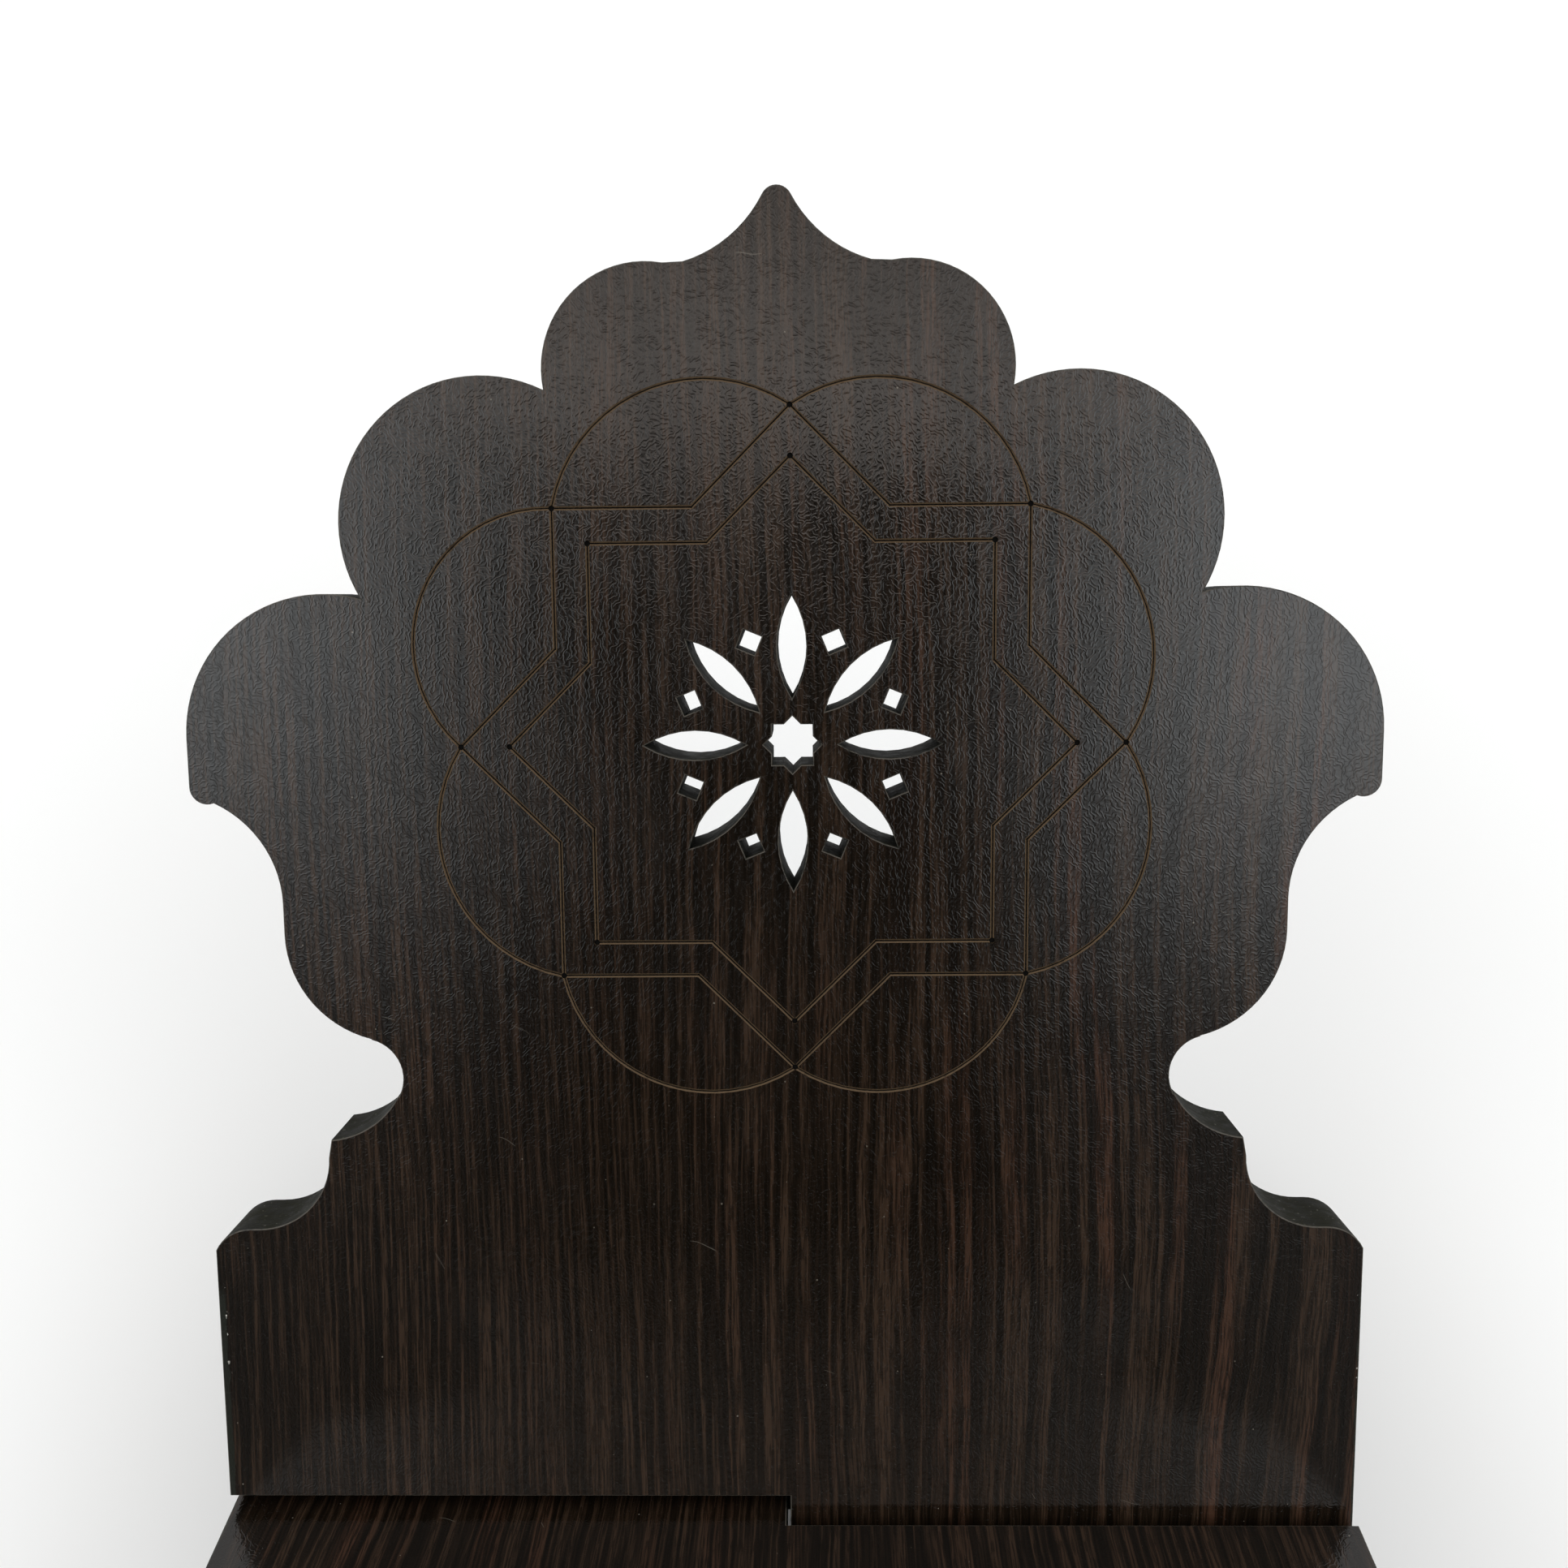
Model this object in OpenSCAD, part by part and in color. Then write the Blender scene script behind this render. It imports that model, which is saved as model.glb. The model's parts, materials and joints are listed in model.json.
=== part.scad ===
// Reading stand of two identical laminated boards. Each board is slotted half way
// across its width, and the two slots slide into each other to make an X.
// A board is drawn flat: x across it, y up it from the middle of its slot, and z out of
// its reading face, with z = 0 at mid thickness. The stand's frame has x along the
// crossing, y towards the back board's crown, z up and the floor at z = 0.

/* [Board] */
// Width of each board
board_w = 270; // [240:1:330]
// Thickness of each board over both laminates
board_t = 18; // [15:0.5:22]
// Thickness of each laminate skin
laminate_t = 0.6; // [0.5:0.1:1]
// Crown tip above the middle of the slot
crown_h = 314; // [300:1:380]
// Foot end below the middle of the slot
leg_len = 176; // [145:1:215]

/* [Crossing] */
// Width of the slot beyond the board's thickness
slot_play = 4.5; // [3:0.5:6]
// Gap between the two slot ends at the centre line
lap_gap = 1; // [0.5:0.1:2]
// Turn left before the slot edges bind, in degrees
stop_clearance = 0.4; // [0.3:0.1:1]

/* [Crown] */
// Radius of the rounded tip
tip_r = 3.5; // [2.5:0.5:6]
// Radius of the hollow curve beside the tip
spire_r = 28.4; // [24:0.1:34]
// Distance of that curve's centre from the centre line
spire_x = 28.1; // [24:0.1:30]
// Radius of the top lobe
top_lobe_r = 23; // [20:0.5:27]
// Distance of the top lobe's centre from the centre line
top_lobe_x = 29; // [27:0.5:34]
// Drop of the top lobe's centre below the tip
top_lobe_drop = 38.6; // [37:0.1:41]
// Radius of the middle lobe
middle_lobe_r = 32.4; // [30:0.1:38]
// Drop of the middle lobe's centre below the tip
middle_lobe_drop = 71.8; // [68:0.1:76]
// Radius of the side lobe
side_lobe_r = 32.4; // [30:0.1:38]
// Drop of the side lobe's centre below the tip
side_lobe_drop = 119.1; // [114:0.1:122]
// Length of the straight edge below the side lobe
side_lobe_edge = 11; // [6:0.5:14]
// Radius of the corner under that edge
side_corner_r = 4; // [3:0.5:6]

/* [Waist] */
// Radius of the hollow under the side lobe
hollow_r = 26.1; // [24:0.1:28]
// Distance of the hollow's centre outside the board's side
hollow_out = 6; // [4:0.5:8]
// Drop of the hollow's centre below the tip
hollow_drop = 157.3; // [155:0.1:160]
// Radius of the rounded belly under the hollow
belly_r = 25.6; // [24:0.1:28]
// Drop of the belly's centre below the tip
belly_drop = 164.6; // [162:0.1:170]
// Radius of the round notch
notch_r = 9.4; // [8:0.1:11]
// Distance of the notch's centre inside the board's side
notch_in = 36.8; // [35:0.1:39]
// Drop of the notch's centre below the tip
notch_drop = 198.6; // [196:0.1:202]
// Radius of the sweep that leads out of the notch
sweep_r = 20.3; // [18:0.1:24]
// Distance of the sweep's centre inside the board's side
sweep_in = 27; // [25:0.1:29]
// Drop of the sweep's centre below the tip
sweep_drop = 193.4; // [191:0.1:196]
// Distance of the step's corner inside the board's side
step_in = 28.7; // [27.5:0.1:31]

/* [Shoulder] */
// Radius of the hollow above the shoulder
cove_r = 17.4; // [15:0.1:19]
// Height of the cove's centre above the middle of the slot
cove_h = 96; // [90:0.5:98]
// Distance of the cove's centre inside the board's side
cove_in = 10.5; // [9:0.1:12]
// Radius of the shoulder
shoulder_r = 9.5; // [8.6:0.1:12]
// Distance of the shoulder's centre inside the board's side
shoulder_in = 8.5; // [6:0.1:8.5]

/* [Legs] */
// Width of the arch between the feet
arch_w = 144; // [110:1:180]
// Height of the arch's straight sides
arch_jamb = 10; // [6:1:20]
// Radius of the arch's lower curve
arch_r = 50; // [40:1:52]
// Width of the flat sole on each foot
sole_w = 10; // [6:0.5:12]

/* [Engraved rosette] */
// Radius through the points of the outer star
star_r = 75; // [60:0.5:80]
// Radius through the points of the inner star
inner_star_r = 64; // [50:0.5:68]
// Distance of the petals' centres from the rosette's centre
petal_centre = 50; // [44:0.5:62]
// The same distance for the upper left petal, which bulges further out
wide_petal_centre = 59; // [44:0.5:62]
// Drop of the rosette's centre below the tip
rosette_drop = 121.4; // [118:0.1:124]
// Sideways offset of the rosette from the centre line
rosette_x = 2.5; // [0:0.1:3]
// Width of a groove at the surface
groove_w = 0.9; // [0.8:0.1:1.4]
// Depth of a groove
groove_d = 0.4; // [0.3:0.05:0.45]
// Width of the cutter's plunge mark at each star point
pit_w = 1.3; // [1.2:0.1:1.8]

/* [Pierced rosette] */
// Radius where each leaf opening begins
leaf_start = 10.5; // [10:0.5:14]
// Length of each leaf opening
leaf_len = 23; // [18:0.5:26]
// Width of each leaf opening
leaf_w = 6.6; // [5:0.1:7]
// Radius through the points of the centre star
bud_r = 6.5; // [5:0.1:7]
// Radius at which the small diamonds stand
diamond_at = 25; // [24:0.5:28]
// Side of each small diamond
diamond_w = 4.4; // [3:0.1:5]

/* [Hidden] */

chord_error = 0.025;  // how far an arc of the outline may stray from its true curve
over = 1;             // how far a cutter runs past the surface that it cuts
star_points = 8;
star_turn = 360 / star_points;
spire_end = 254.5;    // bearing at which the hollow curve beside the tip ends
top_lobe_start = 100; // bearing at which the top lobe begins
corner_end = -110;    // bearing at which the corner under the side lobe ends
arch_turn = 75;       // bearing at which the arch's lower curve turns over
keel_end = 212;       // bearing at which the arch's upper curve meets the centre line
skin_relief = 0.3;    // the underside laminate stops this far above the floor
petal_depth = 0.9;    // share of the star grooves' depth that the petal grooves have
wide_petal = 3;       // which petal bulges, counted from the right round to the left

half_w = board_w / 2;
core_t = board_t - 2 * laminate_t;
slot_w = board_t + slot_play;
// The slots bind when their edges meet the crossing board's faces, which sets the spread.
lean = atan(board_t / slot_w) + stop_clearance / 2;
sole_rise = sole_w * sin(lean) * cos(lean);
crossing_z = leg_len * sin(lean) + board_t / 2 * cos(lean) - sole_rise;
plate = board_w + crown_h + leg_len;

// A point on a circle, an arc from bearing a0 to bearing a1, and one point's bearing.
function at(c, r, a) = c + r * [cos(a), sin(a)];
function arc(c, r, a0, a1) =
    let (steps = max(2, ceil(abs(a1 - a0) / (2 * acos(1 - chord_error / r)))))
    [for (i = [0:steps]) at(c, r, a0 + (a1 - a0) * i / steps)];
function bearing(from, to) = atan2(to.y - from.y, to.x - from.x);
function around(a) = a < 0 ? a + 360 : a;

// Where two circles meet, on the left (1) or the right (-1) of the line between them.
function meet(c1, r1, c2, r2, side) =
    let (d = norm(c2 - c1), e = (c2 - c1) / d, along = (d * d + r1 * r1 - r2 * r2) / (2 * d))
    c1 + along * e + side * sqrt(max(0, r1 * r1 - along * along)) * [-e.y, e.x];

tip = [0, crown_h - tip_r];
spire = [spire_x, tip.y + sqrt(pow(tip_r + spire_r, 2) - spire_x * spire_x)];
top_lobe = [top_lobe_x, crown_h - top_lobe_drop];
side_lobe = [half_w - side_lobe_r, crown_h - side_lobe_drop];
middle_lobe = [(top_lobe.x + side_lobe.x) / 2, crown_h - middle_lobe_drop];
side_corner = [half_w - side_corner_r, side_lobe.y - side_lobe_edge];
hollow = [half_w + hollow_out, crown_h - hollow_drop];
belly = [hollow.x - hollow_r - belly_r, crown_h - belly_drop];
notch = [half_w - notch_in, crown_h - notch_drop];
sweep = [half_w - sweep_in, crown_h - sweep_drop];
step_x = half_w - step_in;
cove = [half_w - cove_in, cove_h];
shoulder = [half_w - shoulder_in, cove.y - cove_r - shoulder_r];
rosette = [rosette_x, crown_h - rosette_drop];

upper_cusp = meet(top_lobe, top_lobe_r, middle_lobe, middle_lobe_r, 1);
lower_cusp = meet(middle_lobe, middle_lobe_r, side_lobe, side_lobe_r, 1);
notch_lip = meet(belly, belly_r, notch, notch_r, -1);

// The right half of the crown and waist, from the tip down to the shoulder.
crown_half = concat(
    arc(tip, tip_r, 90, bearing(tip, spire)),
    arc(spire, spire_r, around(bearing(spire, tip)), spire_end),
    arc(top_lobe, top_lobe_r, top_lobe_start, bearing(top_lobe, upper_cusp)),
    arc(middle_lobe, middle_lobe_r, bearing(middle_lobe, upper_cusp), bearing(middle_lobe, lower_cusp)),
    arc(side_lobe, side_lobe_r, bearing(side_lobe, lower_cusp), 0),
    arc(side_corner, side_corner_r, 0, corner_end),
    arc(hollow, hollow_r, bearing(hollow, at(side_corner, side_corner_r, corner_end)), 180),
    arc(belly, belly_r, 0, bearing(belly, notch_lip)),
    arc(notch, notch_r, bearing(notch, notch_lip), around(bearing(sweep, notch))),
    arc(sweep, sweep_r, around(bearing(sweep, notch)), 360 - acos((step_x - sweep.x) / sweep_r)),
    arc(cove, cove_r, 180, 270),
    arc(shoulder, shoulder_r, 90, acos(shoulder_in / shoulder_r))
);

// The right half of the arch between the feet, from its foot up to its point.
arch_base = [arch_w / 2 - arch_r, arch_jamb - leg_len];
keel_r = (arch_base.x + arch_r * cos(arch_turn)) / (-cos(keel_end) - cos(arch_turn));
keel = at(arch_base, arch_r + keel_r, arch_turn);
leg_half = concat(
    [[half_w, -leg_len], [arch_w / 2, -leg_len]],
    arc(arch_base, arch_r, 0, arch_turn),
    arc(keel, keel_r, 180 + arch_turn, keel_end)
);

function mirrored(points) = [for (i = [len(points) - 1:-1:0]) [-points[i].x, points[i].y]];

module board_outline() {
    half = concat(crown_half, leg_half);
    polygon(concat(half, mirrored(half)));
}

// The slot runs in from the board's own left side, seen from its reading face.
module slot() {
    translate([-half_w - over, -slot_w / 2]) square([half_w + over + lap_gap / 2, slot_w]);
}

// An eight-pointed star: a square and the same square turned by half a right angle.
module star(r) {
    for (turn = [0, star_turn]) rotate(turn) square(r * sqrt(2), center = true);
}

// A leaf with two pointed ends, lying along x from the origin.
module leaf(length, width) {
    r = (length * length / 4 + width * width / 4) / width;
    translate([length / 2, 0]) intersection() {
        translate([0, r - width / 2]) circle(r, $fn = 128);
        translate([0, width / 2 - r]) circle(r, $fn = 128);
    }
}

module pierced_rosette() {
    translate(rosette) {
        star(bud_r);
        for (i = [0:star_points - 1]) rotate(i * star_turn) {
            translate([leaf_start, 0]) leaf(leaf_len, leaf_w);
            rotate(star_turn / 2) translate([diamond_at, 0]) rotate(45) square(diamond_w, center = true);
        }
    }
}

// A groove's cross-section, with its mouth at y = 0 and running on past it.
module groove_section(depth) {
    rise = depth * 1.25;
    reach = groove_w / 2 * rise / depth;
    translate([0, rise - depth]) polygon([[0, -rise], [reach, 0], [-reach, 0]]);
}

// A straight groove from one point of the surface to another.
module straight_groove(from, to) {
    translate([from.x, from.y, 0]) rotate([90, 0, bearing(from, to) + 90])
        translate([0, 0, -groove_w / 4]) linear_extrude(norm(to - from) + groove_w / 2) groove_section(groove_d);
}

// The outline of an eight-pointed star, cut as straight grooves.
module star_groove(r) {
    dent_r = r / sqrt(2) / cos(star_turn / 2);
    for (i = [0:star_points - 1]) {
        point = at([0, 0], r, i * star_turn);
        for (side = [-1, 1]) straight_groove(point, at([0, 0], dent_r, (i + side / 2) * star_turn));
    }
}

// The round marks that the cutter leaves where it plunges, at the points of a star.
module star_pits(r) {
    for (i = [0:star_points - 1]) rotate(i * star_turn)
        translate([r, 0, -groove_d]) cylinder(h = groove_d + over, d = pit_w, $fn = 24);
}

// The petals, each an arc from one point of the outer star to the next.
module petal_grooves() {
    first = at([0, 0], star_r, -star_turn / 2);
    for (i = [0:star_points - 1]) {
        centre = [i == wide_petal ? wide_petal_centre : petal_centre, 0];
        r = norm(first - centre);
        half_sweep = abs(bearing(centre, first));
        rotate((i + 0.5) * star_turn) translate([centre.x, 0, 0])
            rotate(-half_sweep) rotate_extrude(angle = 2 * half_sweep, $fn = 96)
                translate([r, 0]) groove_section(groove_d * petal_depth);
    }
}

module engraving() {
    translate([rosette.x, rosette.y, board_t / 2]) {
        star_groove(star_r);
        star_groove(inner_star_r);
        star_pits(star_r);
        star_pits(inner_star_r);
        petal_grooves();
    }
}

// One layer of a board, from height z0 to height z1 through its thickness.
module layer(z0, z1) {
    translate([0, 0, z0]) linear_extrude(z1 - z0) difference() {
        board_outline();
        slot();
        pierced_rosette();
    }
}

// Where each board stands. The front board is the same board turned half way round.
module in_place(turn) {
    rotate(turn) translate([0, 0, crossing_z]) rotate([lean, 0, 0]) children();
}

// Takes off everything below a height, which leaves the flat soles.
module above(height) {
    difference() {
        children();
        translate([-plate, -plate, height - plate]) cube([2 * plate, 2 * plate, plate]);
    }
}

module core(turn) {
    above(0) in_place(turn) layer(-core_t / 2, core_t / 2);
}

module face_laminate(turn) {
    in_place(turn) difference() {
        layer(core_t / 2, board_t / 2);
        engraving();
    }
}

module underside_laminate(turn) {
    above(skin_relief) in_place(turn) layer(-board_t / 2, -core_t / 2);
}

module back_board_core() { color([0.17, 0.17, 0.14]) core(0); }
module back_board_face_laminate() { color([0.16, 0.12, 0.10]) face_laminate(0); }
module back_board_underside_laminate() { color([0.14, 0.11, 0.09]) underside_laminate(0); }
module front_board_core() { color([0.17, 0.17, 0.14]) core(180); }
module front_board_face_laminate() { color([0.16, 0.12, 0.10]) face_laminate(180); }
module front_board_underside_laminate() { color([0.14, 0.11, 0.09]) underside_laminate(180); }

back_board_core();
back_board_face_laminate();
back_board_underside_laminate();
front_board_core();
front_board_face_laminate();
front_board_underside_laminate();
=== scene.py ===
"""Looks, light and camera for a reading stand of two slotted, laminated boards.

Each board is a fibreboard core between two pressed decor laminates. The CAD solids give every
size and place. The pieces here are made from them: the arrises are eased, the walls of the lobes
are shaded round, and every surface gets its own finish: printed and embossed laminate, brushed
edge paint, the worn line of the arris, and the bare flanks of the engraved grooves.

Board coordinates are millimetres: x across the board, y up it from the middle of its slot, and z
out of its reading face. Each mesh carries them as an attribute, and the finishes are laid out in
them, so a finish stays with its board when the stand is folded.
"""

import json
import logging
import math
from dataclasses import dataclass, field
from enum import Enum

import bmesh
import bpy
import numpy as np
from mathutils import Matrix, Vector


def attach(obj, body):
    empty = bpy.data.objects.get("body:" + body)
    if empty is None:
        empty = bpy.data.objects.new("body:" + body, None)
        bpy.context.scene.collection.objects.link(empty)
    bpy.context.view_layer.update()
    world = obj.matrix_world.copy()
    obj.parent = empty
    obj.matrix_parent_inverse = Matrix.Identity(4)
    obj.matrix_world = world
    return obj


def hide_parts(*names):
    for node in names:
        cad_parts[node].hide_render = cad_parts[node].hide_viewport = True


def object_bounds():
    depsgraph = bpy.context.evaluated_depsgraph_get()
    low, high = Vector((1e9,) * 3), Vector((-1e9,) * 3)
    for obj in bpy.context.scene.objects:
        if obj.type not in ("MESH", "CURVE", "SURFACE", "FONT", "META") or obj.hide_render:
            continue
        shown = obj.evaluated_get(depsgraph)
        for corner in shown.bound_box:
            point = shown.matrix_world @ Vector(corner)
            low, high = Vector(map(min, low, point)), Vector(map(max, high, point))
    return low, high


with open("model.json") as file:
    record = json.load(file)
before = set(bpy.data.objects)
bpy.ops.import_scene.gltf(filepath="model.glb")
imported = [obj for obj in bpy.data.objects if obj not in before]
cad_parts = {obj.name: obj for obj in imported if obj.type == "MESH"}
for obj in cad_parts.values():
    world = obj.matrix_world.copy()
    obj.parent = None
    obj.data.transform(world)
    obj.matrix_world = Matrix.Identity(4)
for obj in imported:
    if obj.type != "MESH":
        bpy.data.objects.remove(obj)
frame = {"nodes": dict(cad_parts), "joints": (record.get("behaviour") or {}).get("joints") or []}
CAD_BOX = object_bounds()

log = logging.getLogger("reading_stand")

MM = 0.001
BOARD_COORDINATES = "board_mm"
SCALE_INPUT = 3
Colour = tuple[float, float, float, float]
Socket = bpy.types.NodeSocket
SocketOrValue = Socket | float | tuple[float, ...]


def rgb(red: float, green: float, blue: float) -> Colour:
    """Returns an opaque linear colour."""
    return (red, green, blue, 1.0)


class BoardName(Enum):
    """The two boards, named as the CAD bodies are."""

    BACK = "back_board"
    FRONT = "front_board"


class Layer(Enum):
    """The layers of one board, named as the ends of the CAD nodes' names are."""

    CORE = "core"
    FACE = "face_laminate"
    UNDERSIDE = "underside_laminate"


class Surface(Enum):
    """The kinds of surface on a board. The value is the material slot's index."""

    PRINT = 0
    WALL = 1
    ARRIS = 2
    GROOVE = 3


# --------------------------------------------------------------------------------------------
# Node trees


class NodeBuilder:
    """Adds nodes to one tree and links them."""

    def __init__(self, tree: bpy.types.NodeTree) -> None:
        """Keeps the tree that the nodes go into.

        Args:
            tree: the material's, world's or group's node tree.
        """
        self.tree = tree

    def add(self, kind: str, inputs: dict[str | int, SocketOrValue] | None = None,
            **settings: object) -> bpy.types.Node:
        """Adds one node, sets its properties and feeds its inputs.

        Args:
            kind: the node's type name without its "ShaderNode" prefix.
            inputs: a socket to link or a value to set, by the input's name or index.
            **settings: properties of the node.

        Returns:
            The new node.
        """
        node = self.tree.nodes.new("ShaderNode" + kind)
        for name, value in settings.items():
            setattr(node, name, value)
        for name, value in (inputs or {}).items():
            if isinstance(value, Socket):
                self.tree.links.new(value, node.inputs[name])
            else:
                node.inputs[name].default_value = value
        return node

    def math(self, operation: str, *operands: SocketOrValue, clamp: bool = False) -> Socket:
        """Adds a Math node.

        Args:
            operation: the node's operation.
            *operands: one to three sockets or numbers.
            clamp: whether the result is kept between 0 and 1.

        Returns:
            The result.
        """
        node = self.add("Math", dict(enumerate(operands)), operation=operation, use_clamp=clamp)
        return node.outputs[0]

    def vector_math(self, operation: str, *operands: SocketOrValue) -> Socket:
        """Adds a Vector Math node.

        Args:
            operation: the node's operation.
            *operands: one or two sockets or vectors, or a vector and a number for "SCALE".

        Returns:
            The resulting vector.
        """
        node = self.add("VectorMath", operation=operation)
        places = (0, SCALE_INPUT) if operation == "SCALE" else range(len(operands))
        for place, operand in zip(places, operands):
            if isinstance(operand, Socket):
                self.tree.links.new(operand, node.inputs[place])
            else:
                node.inputs[place].default_value = operand
        return node.outputs[0]

    def split(self, vector: Socket) -> tuple[Socket, Socket, Socket]:
        """Returns the x, y and z of a vector."""
        node = self.add("SeparateXYZ", {0: vector})
        return node.outputs[0], node.outputs[1], node.outputs[2]

    def join(self, x: SocketOrValue, y: SocketOrValue, z: SocketOrValue = 0.0) -> Socket:
        """Returns a vector made of x, y and z."""
        return self.add("CombineXYZ", {0: x, 1: y, 2: z}).outputs[0]

    def ramp(self, value: Socket, low: SocketOrValue, high: SocketOrValue,
             start: SocketOrValue = 0.0, end: SocketOrValue = 1.0, smooth: bool = True) -> Socket:
        """Maps one range to another, clamped.

        Args:
            value: what is mapped.
            low: the value that gives start.
            high: the value that gives end.
            start: the result at low and before it.
            end: the result at high and past it.
            smooth: whether the ends ease in and out.

        Returns:
            The mapped value.
        """
        kind = "SMOOTHSTEP" if smooth else "LINEAR"
        node = self.add("MapRange", {0: value, 1: low, 2: high, 3: start, 4: end},
                        interpolation_type=kind)
        return node.outputs[0]

    def blend(self, factor: SocketOrValue, first: SocketOrValue, second: SocketOrValue,
              mode: str = "MIX") -> Socket:
        """Mixes two colours.

        Args:
            factor: the share of the second colour.
            first: the colour at factor 0.
            second: the colour at factor 1.
            mode: how the colours are combined.

        Returns:
            The mixed colour.
        """
        node = self.add("Mix", {0: factor, 6: first, 7: second}, data_type="RGBA", blend_type=mode)
        return node.outputs[2]

    def noise(self, at: Socket, scale: SocketOrValue = 1.0, detail: float = 2.0,
              roughness: float = 0.5, dimensions: str = "3D") -> Socket:
        """Adds a Noise texture.

        Args:
            at: where it is read.
            scale: its waves per unit.
            detail: how many finer layers it has.
            roughness: how strong the finer layers are.
            dimensions: "2D" reads x and y alone, which is quicker.

        Returns:
            Its value, about 0.5 on average.
        """
        inputs = {"Vector": at, "Scale": scale, "Detail": detail, "Roughness": roughness}
        return self.add("TexNoise", inputs, noise_dimensions=dimensions).outputs["Fac"]


@dataclass(frozen=True)
class GroupSocket:
    """One socket on the outside of a node group."""

    name: str
    kind: str
    default: float | tuple[float, ...] | None = None


class NodeGroup:
    """A shader node group that is built once and placed in several materials."""

    name = ""
    inputs: tuple[GroupSocket, ...] = ()
    outputs: tuple[GroupSocket, ...] = ()

    def __init__(self) -> None:
        """Makes the group's tree with its named sockets, then fills it."""
        self.tree = bpy.data.node_groups.new(self.name, "ShaderNodeTree")
        for direction, sockets in (("INPUT", self.inputs), ("OUTPUT", self.outputs)):
            for item in sockets:
                made = self.tree.interface.new_socket(
                    name=item.name, in_out=direction, socket_type="NodeSocket" + item.kind)
                if item.default is not None:
                    made.default_value = item.default
        entry = self.tree.nodes.new("NodeGroupInput")
        results = self.fill(NodeBuilder(self.tree), {s.name: s for s in entry.outputs if s.name})
        end = self.tree.nodes.new("NodeGroupOutput")
        for name, socket in results.items():
            self.tree.links.new(socket, end.inputs[name])

    def fill(self, nodes: NodeBuilder, given: dict[str, Socket]) -> dict[str, Socket]:
        """Builds the inside of the group.

        Args:
            nodes: adds nodes to the group's tree.
            given: the group's inputs by name.

        Returns:
            The socket that feeds each output, by the output's name.
        """
        raise NotImplementedError

    def place(self, nodes: NodeBuilder, **values: SocketOrValue) -> dict[str, Socket]:
        """Puts the group into a tree.

        Args:
            nodes: adds nodes to that tree.
            **values: the group's inputs, with "_" for a space in a name.

        Returns:
            The group's outputs by name.
        """
        node = nodes.add("Group", node_tree=self.tree)
        for name, value in values.items():
            socket = node.inputs[name.replace("_", " ")]
            if isinstance(value, Socket):
                nodes.tree.links.new(value, socket)
            else:
                socket.default_value = value
        return {s.name: s for s in node.outputs}


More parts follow.
